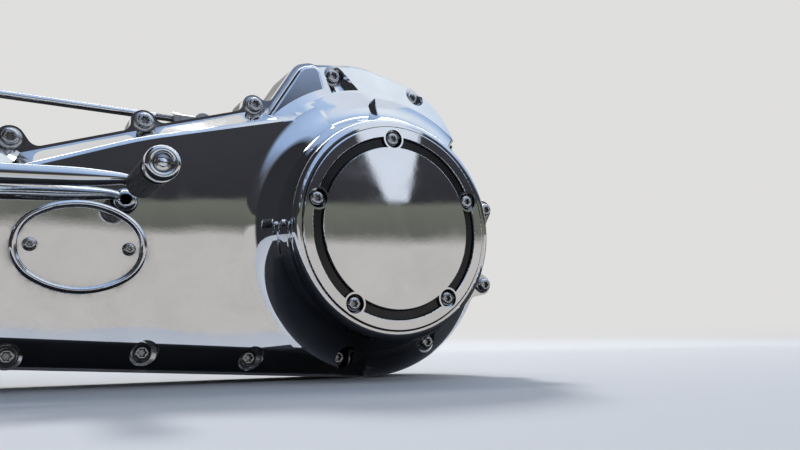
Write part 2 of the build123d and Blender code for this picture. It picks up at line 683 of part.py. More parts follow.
def lever(bend_x, bend_z, reach, drop, low, hub_low):
    """Foot lever with a round hub on the shift shaft, an arm with rounded edges and an eye for its
    peg. The bend and the eye are placed from the shaft."""
    side = 1 if reach > 0 else -1
    peg_x = SHIFT_X + reach
    peg_z = SHIFT_Z - drop
    tip_x = peg_x - side * ARM_TIP_X
    tip_z = peg_z + ARM_TIP_Z
    arm = link(SHIFT_X, SHIFT_Z, HUB_RADIUS - 3, SHIFT_X + bend_x, SHIFT_Z + bend_z, ARM_ROOT)
    arm += link(SHIFT_X + bend_x, SHIFT_Z + bend_z, ARM_ROOT, tip_x, tip_z, ARM_TIP)
    arm += Pos(peg_x, peg_z) * Circle(PEG_EYE_RADIUS)
    body = slab(smoothed(arm, ARM_BLEND), low, low + LEVER_THICK)
    body = fillet(body.edges().group_by(Axis.Y)[0], LEVER_ROUND)
    body += disc(SHIFT_X, SHIFT_Z, HUB_RADIUS, hub_low, low + LEVER_THICK)
    body -= disc(SHIFT_X, SHIFT_Z, SHAFT_RADIUS + FIT_GAP, hub_low, low + LEVER_THICK)
    body -= disc(peg_x, peg_z, PEG_CORE_RADIUS - 1 + FIT_GAP, low, low + LEVER_THICK)
    return body


def peg_core(reach, drop, low):
    """Stud of a foot peg, with its round end cap."""
    foot = low + LEVER_THICK
    cap = foot + PEG_LENGTH
    return turned(SHIFT_X + reach, SHIFT_Z - drop, (
        (0, low, 0),
        (PEG_CORE_RADIUS - 1, low, 0),
        (PEG_CORE_RADIUS - 1, foot, 0),
        (PEG_CORE_RADIUS, foot, 0),
        (PEG_CORE_RADIUS, cap, 0),
        (PEG_CAP_RADIUS, cap, 0.6),
        (PEG_CAP_RADIUS, cap + PEG_CAP_THICK, PEG_CAP_ROUND),
        (PEG_CORE_RADIUS + 1, cap + PEG_CAP_THICK, 0.6),
        (PEG_CORE_RADIUS, cap + PEG_CAP_THICK - PEG_CAP_SINK, 0),
        (0, cap + PEG_CAP_THICK - PEG_CAP_SINK, 0),
    ))


def peg_rubber(reach, drop, low):
    """Ribbed rubber sleeve of a foot peg."""
    foot = low + LEVER_THICK
    inner = PEG_CORE_RADIUS + RUBBER_GAP
    profile = [(inner, foot + PEG_LENGTH, 0), (inner, foot, 0), (PEG_RADIUS, foot, 0)]
    pitch = PEG_LENGTH / (PEG_GROOVES + 1)
    for number in range(PEG_GROOVES):
        middle = foot + pitch * (number + 1)
        profile += [
            (PEG_RADIUS, middle - pitch / 4, 0),
            (PEG_RADIUS - PEG_GROOVE_DEPTH, middle - pitch / 6, 0),
            (PEG_RADIUS - PEG_GROOVE_DEPTH, middle + pitch / 6, 0),
            (PEG_RADIUS, middle + pitch / 4, 0),
        ]
    profile.append((PEG_RADIUS, foot + PEG_LENGTH, 0))
    return turned(SHIFT_X + reach, SHIFT_Z - drop, profile)


def make_inner_arm():
    low = INNER_ARM_TOP - INNER_ARM_THICK
    pin_x = SHIFT_X + ROD_PIN_X
    pin_z = SHIFT_Z + ROD_PIN_Z
    body = slab(link(SHIFT_X, SHIFT_Z, HUB_RADIUS - 1, pin_x, pin_z, ROD_EYE_RADIUS), low, INNER_ARM_TOP)
    body -= disc(SHIFT_X, SHIFT_Z, SHAFT_RADIUS + FIT_GAP, low, INNER_ARM_TOP)
    body += disc(pin_x, pin_z, ROD_PIN_RADIUS, low, ROD_PIN_TOP)
    return body


def rod_plane(from_pin, side):
    """Plane across the rod, at a distance from the inner arm's pin, facing along the rod."""
    return Plane(
        origin=(SHIFT_X + ROD_PIN_X + from_pin, -ROD_HEIGHT, SHIFT_Z + ROD_PIN_Z),
        z_dir=(side, 0, 0),
    )


def make_shift_rod():
    length = ROD_SPAN - 2 * ROD_SOCKET_LENGTH
    return rod_plane(ROD_SOCKET_LENGTH, 1) * Cylinder(
        ROD_RADIUS, length, align=(Align.CENTER, Align.CENTER, Align.MIN)
    )


def rod_end(from_pin, side):
    """Eye and threaded socket at one end of the shift rod."""
    low = ROD_HEIGHT - ROD_EYE_THICK / 2
    high = low + ROD_EYE_THICK
    eye_x = SHIFT_X + ROD_PIN_X + from_pin
    eye_z = SHIFT_Z + ROD_PIN_Z
    reach = ROD_SOCKET_LENGTH - JAM_NUT_THICK
    socket = rod_plane(from_pin, side) * Cylinder(
        ROD_SOCKET_RADIUS, reach, align=(Align.CENTER, Align.CENTER, Align.MIN)
    )
    end = disc(eye_x, eye_z, ROD_EYE_RADIUS, low, high)
    end += socket & slab(Pos(eye_x, eye_z) * Circle(reach + 1), low, high)
    end -= disc(eye_x, eye_z, ROD_PIN_RADIUS + RUNNING_GAP, low, high)
    return end


def make_jam_nuts():
    nuts = []
    for from_pin, side in ((0.0, 1), (ROD_SPAN, -1)):
        start = from_pin + side * (ROD_SOCKET_LENGTH - JAM_NUT_THICK)
        hexagon = RegularPolygon(JAM_NUT_WIDTH / 2, 6, major_radius=False)
        nuts.append(extrude(rod_plane(start, side) * hexagon, amount=JAM_NUT_THICK))
    return Compound(nuts)


PARTS = {
    "outer_cover": make_outer_cover,
    "inner_case": make_inner_case,
    "cover_gasket": make_cover_gasket,
    "cover_bolts": make_cover_bolts,
    "clutch_cover": make_derby_cover,
    "clutch_cover_seal": make_derby_seal,
    "clutch_cover_screws": make_derby_screws,
    "inspection_cover": make_inspection_cover,
    "inspection_gasket": make_inspection_gasket,
    "inspection_screws": make_inspection_screws,
    "mainshaft_bearing": make_mainshaft_bearing,
    "shaft_bushings": make_shaft_bushings,
    "shift_shaft": make_shift_shaft,
    "heel_lever": lambda: lever(HEEL_BEND_X, HEEL_BEND_Z, HEEL_REACH, HEEL_DROP, HEEL_HEIGHT, HEEL_HEIGHT),
    "toe_lever": lambda: lever(TOE_BEND_X, TOE_BEND_Z, TOE_REACH, TOE_DROP, TOE_HEIGHT, BOSS_HEIGHT + LEVER_GAP),
    "heel_peg_stud": lambda: peg_core(HEEL_REACH, HEEL_DROP, HEEL_HEIGHT),
    "heel_peg_rubber": lambda: peg_rubber(HEEL_REACH, HEEL_DROP, HEEL_HEIGHT),
    "toe_peg_stud": lambda: peg_core(TOE_REACH, TOE_DROP, TOE_HEIGHT),
    "toe_peg_rubber": lambda: peg_rubber(TOE_REACH, TOE_DROP, TOE_HEIGHT),
    "inner_shift_arm": make_inner_arm,
    "shift_rod": make_shift_rod,
    "front_rod_end": lambda: rod_end(0.0, 1),
    "rear_rod_end": lambda: rod_end(ROD_SPAN, -1),
    "rod_jam_nuts": make_jam_nuts,
}


if __name__ == "__main__":
    os.makedirs("parts", exist_ok=True)
    for node, make in PARTS.items():
        export_step(make(), f"parts/{node}.step")
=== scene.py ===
"""Looks of a motor trike's primary drive case with its heel-and-toe gear shift.

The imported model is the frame: x points rearward, y inboard and z up, in metres, with the crankshaft's
axis at the origin. Its shaded surfaces stay, and get finishes of chrome, black paint, rubber, steel and
bronze. The clutch dome's wall, the bolts, the screws, the pegs, the heel lever and the rod are modelled
again here, with a hollow curve at the dome's foot, sockets, washers, ribs, an oval bar and threads.
"""

import math

import bmesh
import bpy
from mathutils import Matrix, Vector


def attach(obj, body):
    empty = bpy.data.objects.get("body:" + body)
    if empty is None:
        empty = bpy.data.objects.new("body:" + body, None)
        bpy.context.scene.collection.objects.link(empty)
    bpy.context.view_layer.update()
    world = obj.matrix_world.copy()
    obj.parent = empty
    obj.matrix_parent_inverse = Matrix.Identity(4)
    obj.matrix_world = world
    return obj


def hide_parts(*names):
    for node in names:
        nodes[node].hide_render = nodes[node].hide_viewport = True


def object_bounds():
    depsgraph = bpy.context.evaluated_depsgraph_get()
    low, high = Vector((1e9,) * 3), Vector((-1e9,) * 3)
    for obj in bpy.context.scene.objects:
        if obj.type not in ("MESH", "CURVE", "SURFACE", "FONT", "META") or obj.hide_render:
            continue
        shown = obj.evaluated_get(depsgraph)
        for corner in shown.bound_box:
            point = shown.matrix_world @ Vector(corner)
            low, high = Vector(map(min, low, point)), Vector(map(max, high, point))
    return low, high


# Camera, at the photo's viewing angle
CAMERA_PLACE = (0.0350, -0.5752, -0.0538)
CAMERA_TURN = (98.46, 0.0, -29.74)
CAMERA_LENS = 31.5
CAMERA_SENSOR = 36.0

# Directions in which the bright sky and the sun stand
SKY_PATCH = (0.45, -0.30, 0.84)
SUN_FROM = (0.12, 0.66, 0.74)

# Clutch cover: its centre, and its black groove as inner radius, outer radius and the Y below which
# the paint lies
CLUTCH_CENTRE = (0.300, 0.0, 0.024)
CLUTCH_GROOVE = (0.0634, 0.0713, -0.1094)

# Turned profiles, from the middle of the face outwards, in millimetres: radius, height outboard and
# depth of the six lobes of a star socket
COVER_BOLT = (
    (0, 61.0, 0), (2.2, 61.0, 0.3), (2.45, 61.3, 0.4), (2.45, 63.5, 0.4), (2.75, 63.9, 0.35), (3.3, 64.0, 0),
    (4.4, 63.85, 0), (5.1, 63.3, 0), (5.4, 62.5, 0), (5.4, 59.9, 0), (5.6, 59.4, 0), (6.7, 59.25, 0),
    (7.1, 59.0, 0), (7.25, 58.6, 0), (7.2, 58.0, 0), (3.1, 58.0, 0), (3.1, 35.0, 0), (2.5, 34.2, 0),
    (0, 34.0, 0),
)
CLUTCH_SCREW = (
    (0, 106.9, 0), (1.9, 106.9, 0.25), (2.1, 107.2, 0.35), (2.1, 109.0, 0.35), (2.45, 109.45, 0.3),
    (3.0, 109.6, 0), (4.1, 109.4, 0), (5.0, 108.8, 0), (5.7, 107.9, 0), (6.1, 106.9, 0), (6.2, 106.1, 0),
    (6.1, 105.5, 0), (3.0, 105.5, 0), (3.0, 83.0, 0), (2.4, 82.1, 0), (0, 82.0, 0),
)
OVAL_SCREW = (
    (0, 82.3, 0), (1.2, 82.3, 0.15), (1.35, 82.5, 0.22), (1.35, 83.6, 0.22), (1.6, 83.9, 0.2), (2.1, 84.0, 0),
    (3.1, 83.7, 0), (3.9, 82.9, 0), (4.35, 81.8, 0), (4.4, 81.0, 0), (2.4, 81.0, 0), (2.4, 74.5, 0),
    (0, 74.0, 0),
)
# The same for the end cap of a peg, from the face of its lever
PEG_CAP = (
    (0, 68.0, 0), (2.2, 68.0, 0), (2.6, 67.7, 0), (2.9, 68.0, 0), (4.3, 67.9, 0), (4.7, 67.4, 0),
    (4.9, 66.6, 0), (5.4, 66.6, 0), (5.7, 67.2, 0), (6.0, 68.5, 0), (6.5, 68.95, 0), (8.2, 69.0, 0),
    (9.3, 68.5, 0), (10.0, 67.5, 0), (10.2, 66.0, 0), (10.2, 61.0, 0), (9.8, 60.2, 0), (5.0, 60.0, 0),
    (5.0, 0.0, 0), (4.0, 0.0, 0), (4.0, -8.0, 0), (0, -8.0, 0),
)
PEG_RIBS = 14
PEG_NECK = 8.0
PEG_RUBBER_LENGTH = 60.0
PEG_RIB_RADIUS = 9.5
PEG_GROOVE_RADIUS = 8.3
PEG_CORE_RADIUS = 5.1
# One rib of a peg's sleeve: share of its pitch, and radius
PEG_RIB = (
    (0.16, PEG_GROOVE_RADIUS), (0.26, PEG_RIB_RADIUS - 0.3), (0.36, PEG_RIB_RADIUS),
    (0.78, PEG_RIB_RADIUS), (0.88, PEG_RIB_RADIUS - 0.3), (0.98, PEG_GROOVE_RADIUS),
)

# Pegs: centre X, Z and height of the face of the lever that each stands on
HEEL_PEG = (109.0, 38.0, 112.0)
TOE_PEG = (-205.0, 26.0, 103.0)

# Centre line of the heel lever's arm: X, Z and half width, with the round bend between the second
# and the fourth
HEEL_ARM = (
    (-62.0, 55.0, 10.0), (-20.0, 39.2, 7.1), (-9.0, 36.2, 6.5), (4.0, 35.6, 6.45), (33.0, 37.3, 6.3),
    (72.0, 39.6, 6.1), (90.0, 40.6, 4.6), (98.0, 41.0, 3.7), (104.4, 40.0, 3.6), (109.0, 38.0, 3.6),
)
LEVER_FACE = 112.0
LEVER_THICK = 8.0
# Power that squares the bar's oval a little
LEVER_OVAL = 0.85
# The lever's hub on its shaft and its eye under the peg
HEEL_HUB = (
    (0, 112.0, 0), (8.0, 112.0, 0), (8.1, 111.6, 0), (8.4, 111.7, 0), (11.5, 112.0, 0), (12.4, 111.6, 0),
    (12.9, 110.8, 0), (13.0, 109.8, 0), (13.0, 105.6, 0), (12.6, 104.4, 0), (11.8, 104.0, 0), (0, 104.0, 0),
)
HEEL_EYE = (
    (0, 112.0, 0), (4.6, 112.0, 0), (6.2, 111.6, 0), (7.4, 110.6, 0), (8.0, 109.0, 0), (8.0, 107.0, 0),
    (7.4, 105.4, 0), (6.2, 104.4, 0), (4.6, 104.0, 0), (0, 104.0, 0),
)
SHIFT_CENTRE = (-62.0, 55.0)

# Shift rod: X of its ends, Z, height and radius, with threads at both ends
ROD_ENDS = (-28.0, 148.0)
ROD_LINE = (116.0, 3.5)
ROD_RADIUS = 3.0
THREAD_LENGTH = 14.0
THREAD_PITCH = 1.0
THREAD_DEPTH = 0.45

# Clutch dome, in millimetres. Its wall leans from the foot to the neck, each a radius and a height. A
# hollow curve runs from the wall into what it stands on, and the dome's mesh ends at the edge's radius
DOME_FOOT = (104.0, 58.0)
DOME_NECK = (87.5, 98.0)
DOME_EDGE = 116.2
DOME_WALL = 4.0
FLARE_ROUND = 25.0
FLANGE_FACE = 58.0
POCKET_RADIUS = 9.0
POCKET_WALL = 0.8

# How far the dome's mesh lies over the cover's, and how far its edge sinks into the cover, off the
# crown and on it
DOME_LIFT = 0.05
EDGE_SINK = (0.4, 1.9)

# Sections round the dome, and points of one section along the edge, the curve, the wall and the inside
TURNS = 720
EDGE_POINTS = 20
CURVE_POINTS = 13
WALL_POINTS = 4
INSIDE_POINTS = 6

# The crown is a cone about the clutch's axis: a radius with its height there, and the slopes at its
# front end and at its top. On the crown, the dome's edge lies further out by the overlap
CROWN_NEAR = (118.0, 73.0)
CROWN_SLOPES = (0.224, 0.425)
CROWN_OVERLAP = 3.8

# Angles round the clutch's axis, in degrees, between which something changes: the crown's slope, the
# dome's edge onto the crown and off it again, the crown's rear end and the front body's lower end
CROWN_SLOPE_TURNS = (119.0, 84.0)
CROWN_ON_TURNS = (47.0, 54.0)
CROWN_OFF_TURNS = (119.0, 108.0)
CROWN_END_TURNS = (45.0, 51.0)
BODY_END_TURNS = (250.0, 279.0)

# Front body, plateau and crown round the dome: X and Z of the corners at the foot and at the face,
# with the height of the face, whose rim is rounded by so much
BODY = (
    ((250, 133), (112, 87), (-62, 26), (-62, -72), (302, -91)),
    ((250, 116), (112, 77.5), (-50, 12), (-50, -56), (290, -73)), 78.0,
)
PLATEAU = (
    ((197, 54), (197, 97), (233.5, 158.5), (250, 163.5), (260, 134), (240, 54)),
    ((198.5, 54), (198.5, 97), (233, 155), (247, 158.5), (255, 134), (240.5, 54)), 70.0,
)
CROWN = (
    ((208, 60), (208, 112), (238, 159), (288, 167.8), (361.5, 152.2), (386, 102), (384, 60)),
    ((212, 60), (212, 108), (242, 153), (287, 161.3), (358, 145.7), (379.5, 100), (377.5, 60)), 81.6,
)
FORM_ROUND = 3.0

# Floor and backdrop, one sweep: how far the floor reaches sideways and forward, its row of points in
# front of the part, and the sweep's start, radius and top. Between two Y the backdrop begins to shine
FLOOR_REACH = 12.0
FLOOR_ROW = -2.0
SWEEP_START = 1.6
SWEEP_RADIUS = 1.2
BACKDROP_TOP = 5.0
SHINE_FROM_TO = (0.5, 2.0)
PALE = (0.74, 0.735, 0.73)

# Dark sheets that only the chrome sees, painted reflections of shade: one lies under and in front of
# the part, one stands behind its rear end and one behind all of it. They give the mirrors the dark that
# the rest of a vehicle and its shadow would
SHADE_SHEETS = (
    ((-1.2, -0.48, 0.001), (1.6, -0.48, 0.001), (1.6, 0.45, 0.001), (-1.2, 0.45, 0.001)),
    ((0.46, 0.10, 0.0), (1.6, 0.10, 0.0), (1.6, 0.10, 0.22), (0.46, 0.10, 0.22)),
    ((-1.2, 0.45, 0.0), (1.6, 0.45, 0.0), (1.6, 0.45, 0.16), (-1.2, 0.45, 0.16)),
)

# Surroundings from straight down to straight up: share of the way, and colour
SURROUNDINGS = (
    (0.0, (0.5, 0.49, 0.48)),
    (0.560, (0.56, 0.54, 0.52)),
    (0.564, (0.13, 0.135, 0.12)),
    (0.586, (0.16, 0.17, 0.14)),
    (0.590, (0.035, 0.035, 0.041)),
    (0.66, (0.05, 0.051, 0.06)),
    (0.72, (0.13, 0.14, 0.16)),
    (1.0, (0.20, 0.21, 0.24)),
)
# Sky from the rim of its patch to the middle. The patch fades in between two values of the product
# with its direction, and between two Z
SKY = (
    (0.6, (0.30, 0.43, 0.68)),
    (0.85, (0.45, 0.60, 0.86)),
    (1.0, (0.85, 0.93, 1.0)),
)
SKY_RIM = (0.52, 0.66)
SKY_LOW = (0.30, 0.40)

# Strip of sky in the slate, in front of the part. Each side fades between two values: the leaning side
# of X + lean * Z, the upright side of X, the lower end of Z and the front of Y
STRIP_LEAN = 0.55
STRIP_LEANING_SIDE = (0.568, 0.576)
STRIP_UPRIGHT_SIDE = (0.497, 0.503)
STRIP_LOW = (0.176, 0.184)
STRIP_FRONT = (-0.5, -0.45)
STRIP_COLOUR = (0.72, 0.78, 0.88)

# Dark screen to the left: X between which it fades in, and its colour
SCREEN_SIDE = (-0.26, -0.38)
SCREEN_COLOUR = (0.03, 0.031, 0.036)


# Node helpers
def new_material(name):
    """A material with a Principled shader: the material, its tree and the shader."""
    material = bpy.data.materials.new(name)
    material.use_nodes = True
    tree = material.node_tree
    shader = next(node for node in tree.nodes if node.type == "BSDF_PRINCIPLED")
    return material, tree, shader


def place_texture(tree, scale):
    """Object coordinates, scaled: the texture stays on its piece."""
    source = tree.nodes.new("ShaderNodeTexCoord")
    mapping = tree.nodes.new("ShaderNodeMapping")
    mapping.inputs["Scale"].default_value = scale
    tree.links.new(source.outputs["Object"], mapping.inputs["Vector"])
    return mapping.outputs["Vector"]


def noise(tree, vector, scale, detail=4.0, roughness=0.55, distortion=0.0):
    node = tree.nodes.new("ShaderNodeTexNoise")
    node.inputs["Scale"].default_value = scale
    node.inputs["Detail"].default_value = detail
    node.inputs["Roughness"].default_value = roughness
    node.inputs["Distortion"].default_value = distortion
    tree.links.new(vector, node.inputs["Vector"])
    return node.outputs["Fac"]


def ramp(tree, value, stops):
    """A colour ramp over (position, colour) stops."""
    node = tree.nodes.new("ShaderNodeValToRGB")
    elements = node.color_ramp.elements
    while len(elements) < len(stops):
        elements.new(0.5)
    for element, (position, colour) in zip(elements, stops):
        element.position = position
        element.color = (*colour, 1.0) if len(colour) == 3 else colour
    tree.links.new(value, node.inputs["Fac"])
    return node.outputs["Color"]


def spread(tree, value, low, high, out_low, out_high):
    """value from low..high mapped onto out_low..out_high, clamped."""
    node = tree.nodes.new("ShaderNodeMapRange")
    node.inputs["From Min"].default_value = low
    node.inputs["From Max"].default_value = high
    node.inputs["To Min"].default_value = out_low
    node.inputs["To Max"].default_value = out_high
    tree.links.new(value, node.inputs["Value"])
    return node.outputs["Result"]


def bump(tree, height, strength, distance, normal=None):
    node = tree.nodes.new("ShaderNodeBump")
    node.inputs["Strength"].default_value = strength
    node.inputs["Distance"].default_value = distance
    tree.links.new(height, node.inputs["Height"])
    if normal is not None:
        tree.links.new(normal, node.inputs["Normal"])
    return node.outputs["Normal"]


def crevices(tree, reach):
    """How closed in a place is by what stands round it: 0 in the open, 1 deep in a corner."""
    node = tree.nodes.new("ShaderNodeAmbientOcclusion")
    node.samples = 4
    node.inputs["Distance"].default_value = reach
    return spread(tree, node.outputs["AO"], 0.9, 0.35, 0.0, 1.0)


def product(tree, first, second):
    node = tree.nodes.new("ShaderNodeMath")
    node.operation = "MULTIPLY"
    tree.links.new(first, node.inputs[0])
    tree.links.new(second, node.inputs[1])
    return node.outputs["Value"]


def blended(tree, share, first, second):
    """Two colours mixed by a share. Each is a socket or a plain colour."""
    node = tree.nodes.new("ShaderNodeMix")
    node.data_type = "RGBA"
    tree.links.new(share, node.inputs["Factor"])
    for value, socket in ((first, node.inputs["A"]), (second, node.inputs["B"])):
        if isinstance(value, tuple):
            socket.default_value = (*value, 1.0)
        else:
            tree.links.new(value, socket)
    return node.outputs["Result"]


def added(tree, first, second):
    node = tree.nodes.new("ShaderNodeMath")
    node.operation = "ADD"
    node.use_clamp = True
    tree.links.new(first, node.inputs[0])
    tree.links.new(second, node.inputs[1])
    return node.outputs["Value"]


def chrome(name, tint, ripple, dust_and_shade_amount=1.0):
    """Polished plating over a casting: faint ripples, wiping haze, water spots, and corners darkened partly
    by road dust and partly as painted shade."""
    material, tree, shader = new_material(name)
    vector = place_texture(tree, (1, 1, 1))
    wave = noise(tree, vector, 9.0, 1.0)
    haze = noise(tree, vector, 26.0, 5.0, 0.6, 0.4)
    spots = noise(tree, vector, 420.0, 2.0)
    shader.inputs["Metallic"].default_value = 1.0
    dark = tuple(0.92 * value for value in tint)
    plating = ramp(tree, haze, [(0.35, dark), (0.62, tint)])
    # corners darker by how closed in they are: partly road dust, partly painted shade
    patches = spread(tree, noise(tree, vector, 90.0, 4.0), 0.42, 0.62, 0.15, 0.75 * dust_and_shade_amount)
    dust_and_shade = product(tree, crevices(tree, 0.007), patches)
    tree.links.new(blended(tree, dust_and_shade, plating, (0.10, 0.09, 0.08)), shader.inputs["Base Color"])
    sheen = spread(tree, haze, 0.45, 0.8, 0.02, 0.09)
    tree.links.new(added(tree, sheen, product(tree, dust_and_shade, dust_and_shade)), shader.inputs["Roughness"])
    first = bump(tree, wave, 1.0, ripple)
    tree.links.new(bump(tree, spots, 0.25, 0.00001, first), shader.inputs["Normal"])
    return material


def grooved_chrome(name, tint, ripple, centre, groove):
    """Chrome with a band of black paint round an axis, in the groove between two radii."""
    material = chrome(name, tint, ripple)
    tree = material.node_tree
    shader = next(node for node in tree.nodes if node.type == "BSDF_PRINCIPLED")
    source = tree.nodes.new("ShaderNodeTexCoord")
    shift = tree.nodes.new("ShaderNodeVectorMath")
    shift.operation = "SUBTRACT"
    shift.inputs[1].default_value = centre
    tree.links.new(source.outputs["Object"], shift.inputs[0])
    split = tree.nodes.new("ShaderNodeSeparateXYZ")
    tree.links.new(shift.outputs["Vector"], split.inputs["Vector"])
    flat = tree.nodes.new("ShaderNodeCombineXYZ")
    tree.links.new(split.outputs["X"], flat.inputs["X"])
    tree.links.new(split.outputs["Z"], flat.inputs["Z"])
    reach = tree.nodes.new("ShaderNodeVectorMath")
    reach.operation = "LENGTH"
    tree.links.new(flat.outputs["Vector"], reach.inputs[0])
    inner, outer, below = groove
    beyond = spread(tree, reach.outputs["Value"], inner - 0.0001, inner, 0.0, 1.0)
    within = spread(tree, reach.outputs["Value"], outer, outer + 0.0001, 1.0, 0.0)
    sunk = spread(tree, split.outputs["Y"], below, below + 0.0001, 0.0, 1.0)
    share = product(tree, product(tree, beyond, within), sunk)
    plated = shader.inputs["Base Color"].links[0].from_socket
    tree.links.new(blended(tree, share, plated, (0.006, 0.006, 0.007)), shader.inputs["Base Color"])
    bare = spread(tree, share, 0.0, 1.0, 1.0, 0.0)
    tree.links.new(bare, shader.inputs["Metallic"])
    worn = shader.inputs["Roughness"].links[0].from_socket
    gloss = spread(tree, share, 0.0, 1.0, 0.0, 0.16)
    tree.links.new(added(tree, worn, gloss), shader.inputs["Roughness"])
    return material


def paint(name, colour, rough):
    """Painted casting: an orange-peel skin, with brown dust in its hollows. On black paint it is lighter;
    on paler paint it darkens the hollows, partly as painted shade.
    """
    material, tree, shader = new_material(name)
    vector = place_texture(tree, (1, 1, 1))
    peel = noise(tree, vector, 900.0, 2.0)
    patches = noise(tree, vector, 14.0, 6.0, 0.6)
    lighter = tuple(min(1.0, 2.2 * value + 0.01) for value in colour)
    skin = ramp(tree, patches, [(0.42, colour), (0.75, lighter)])
    # hollows dusted by how closed in they are: lighter on black paint, partly painted shade where darker
    dust_and_shade = product(tree, crevices(tree, 0.01), spread(tree, patches, 0.35, 0.65, 0.2, 0.8))
    tree.links.new(blended(tree, dust_and_shade, skin, (0.09, 0.08, 0.07)), shader.inputs["Base Color"])
    tree.links.new(spread(tree, patches, 0.3, 0.75, rough, rough + 0.22), shader.inputs["Roughness"])
    tree.links.new(bump(tree, peel, 0.35, 0.00006), shader.inputs["Normal"])
    return material


def steel(name, colour, rough):
    """Machined or plated steel, with fine turning marks, stains, and corners darkened partly by dirt and
    partly as painted shade.
    """
    material, tree, shader = new_material(name)
    vector = place_texture(tree, (1, 1, 1))
    stain = noise(tree, vector, 60.0, 5.0)
    grain = noise(tree, vector, 1500.0, 2.0)
    shader.inputs["Metallic"].default_value = 1.0
    dark = tuple(0.72 * value for value in colour)
    surface = ramp(tree, stain, [(0.35, dark), (0.65, colour)])
    # corners darker by how closed in they are: partly dirt, partly painted shade
    dust_and_shade = product(tree, crevices(tree, 0.003), spread(tree, stain, 0.3, 0.6, 0.4, 0.9))
    tree.links.new(blended(tree, dust_and_shade, surface, (0.05, 0.045, 0.04)), shader.inputs["Base Color"])
    tree.links.new(spread(tree, stain, 0.3, 0.7, rough, rough + 0.16), shader.inputs["Roughness"])
    tree.links.new(bump(tree, grain, 0.3, 0.00002), shader.inputs["Normal"])
    return material


def rubber(name, colour):
    """Moulded rubber, with dust that has settled on it."""
    material, tree, shader = new_material(name)
    vector = place_texture(tree, (1, 1, 1))
    dust_and_shade = noise(tree, vector, 70.0, 6.0)
    grain = noise(tree, vector, 1600.0, 2.0)
    pale = tuple(2.4 * value + 0.015 for value in colour)
    tree.links.new(ramp(tree, dust_and_shade, [(0.4, colour), (0.8, pale)]), shader.inputs["Base Color"])
    tree.links.new(spread(tree, dust_and_shade, 0.3, 0.7, 0.26, 0.5), shader.inputs["Roughness"])
    tree.links.new(bump(tree, grain, 0.5, 0.00004), shader.inputs["Normal"])
    return material


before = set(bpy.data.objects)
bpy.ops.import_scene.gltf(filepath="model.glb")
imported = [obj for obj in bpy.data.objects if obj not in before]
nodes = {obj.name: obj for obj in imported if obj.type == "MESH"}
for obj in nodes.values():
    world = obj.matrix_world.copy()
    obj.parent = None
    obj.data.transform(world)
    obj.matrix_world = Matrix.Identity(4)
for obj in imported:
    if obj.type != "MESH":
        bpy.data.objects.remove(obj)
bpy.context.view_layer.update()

FINISHES = {
    "cover_chrome": chrome("cover_chrome", (0.86, 0.87, 0.89), 0.0010),
    "clutch_cover_chrome": grooved_chrome(
        "clutch_cover_chrome", (0.88, 0.89, 0.91), 0.0003, CLUTCH_CENTRE, CLUTCH_GROOVE
    ),
    "case_black": paint("case_black", (0.012, 0.012, 0.013), 0.16),
    "gasket_fibre": paint("gasket_fibre", (0.12, 0.11, 0.09), 0.6),
    "seal_rubber": rubber("seal_rubber", (0.012, 0.012, 0.012)),
    "bolt_steel": steel("bolt_steel", (0.72, 0.72, 0.72), 0.16),
    "bearing_steel": steel("bearing_steel", (0.62, 0.62, 0.63), 0.2),
    "bushing_bronze": steel("bushing_bronze", (0.62, 0.42, 0.2), 0.28),
    "lever_chrome": chrome("lever_chrome", (0.86, 0.87, 0.88), 0.0003, 0.6),
    "peg_rubber": rubber("peg_rubber", (0.014, 0.0135, 0.013)),
    "rod_chrome": chrome("rod_chrome", (0.84, 0.84, 0.85), 0.0001),
    "zinc_steel": steel("zinc_steel", (0.6, 0.6, 0.58), 0.24),
}

SLOTS = {
    "cover_chrome": ["outer_cover", "inspection_cover"],
    "clutch_cover_chrome": ["clutch_cover"],
    "case_black": ["inner_case"],
    "gasket_fibre": ["cover_gasket", "inspection_gasket"],
    "seal_rubber": ["clutch_cover_seal"],
    "bolt_steel": ["cover_bolts", "clutch_cover_screws", "inspection_screws"],
    "bearing_steel": ["mainshaft_bearing"],
    "bushing_bronze": ["shaft_bushings"],
    "lever_chrome": [
        "shift_shaft", "heel_lever", "toe_lever", "heel_peg_stud", "toe_peg_stud", "inner_shift_arm"
    ],
    "peg_rubber": ["heel_peg_rubber", "toe_peg_rubber"],
    "rod_chrome": ["shift_rod"],
    "zinc_steel": ["front_rod_end", "rear_rod_end", "rod_jam_nuts"],
}
for slot, members in SLOTS.items():
    for name in members:
        nodes[name].data.materials.clear()
        nodes[name].data.materials.append(FINISHES[slot])


# Mesh helpers
def add_turned(bm, x, z, profile, steps=60):
    """Adds a body turned about an inboard-outboard axis to a mesh."""
    rings = []
    for radius, height, lobe in profile:
        if radius == 0:
            rings.append([bm.verts.new((x / 1000, -height / 1000, z / 1000))])
            continue
        ring = []
        for step in range(steps):
            turn = math.tau * step / steps
            reach = radius + lobe * math.cos(6 * turn)
            place = (x + reach * math.cos(turn), -height, z + reach * math.sin(turn))
            ring.append(bm.verts.new([value / 1000 for value in place]))
        rings.append(ring)
    join_rings(bm, rings)


def join_rings(bm, rings):
    """Skins rings of vertices in their order. A ring of one vertex is a middle."""
    for first, second in zip(rings, rings[1:]):
        count = max(len(first), len(second))
        for step in range(count):
            after = (step + 1) % count
            if len(first) == 1:
                bm.faces.new((first[0], second[after], second[step]))
            elif len(second) == 1:
                bm.faces.new((first[step], first[after], second[0]))
            else:
                bm.faces.new((first[step], first[after], second[after], second[step]))


